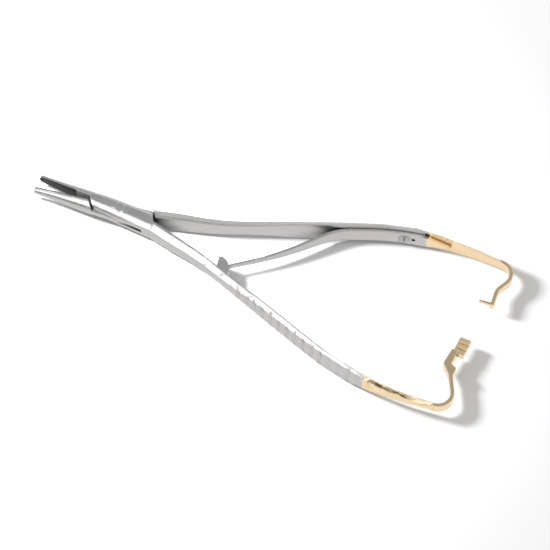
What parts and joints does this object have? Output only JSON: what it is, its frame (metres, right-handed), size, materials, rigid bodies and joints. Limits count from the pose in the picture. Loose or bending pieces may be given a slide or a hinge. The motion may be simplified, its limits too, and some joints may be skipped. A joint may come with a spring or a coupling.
{
  "type": "surgical needle holder",
  "caption": "Needle holder with short grooved jaws, a box lock, curved handles sprung apart by a leaf, and a hook and toothed rack at the rear.",
  "frame": {"origin": "on the pivot axis, on the flat underside of the box lock", "axes": "+X from the pivot towards the handles' rear, +Z along the pivot axis, +Y towards the handle that carries the leaf spring; the handles are open at rest"},
  "size_m": [0.1706, 0.0662, 0.0092],
  "materials": {
    "satin_steel": "satin, with the handles' rear part plated in polished gold",
    "hard_metal": "ground, cross-cut",
    "spring_steel": "polished"
  },
  "bodies": {
    "arm_with_box": {"box_arm": "satin_steel", "box_arm_insert": "hard_metal", "pivot_rivet": "satin_steel"},
    "arm_with_tang": {"tang_arm": "satin_steel", "tang_arm_insert": "hard_metal", "leaf_spring": "spring_steel", "spring_screw": "spring_steel", "spring_pin": "spring_steel"}
  },
  "joints": [
    {"name": "pivot", "type": "hinge", "parent": "arm_with_box", "child": "arm_with_tang", "pos_m": [0, 0, 0], "axis": [0, 0, 1], "range_deg": [-7.4, 0], "stiffness_Nm_per_rad": 2.5, "springref_deg": 1.72, "deforming": ["leaf_spring"]}
  ]
}
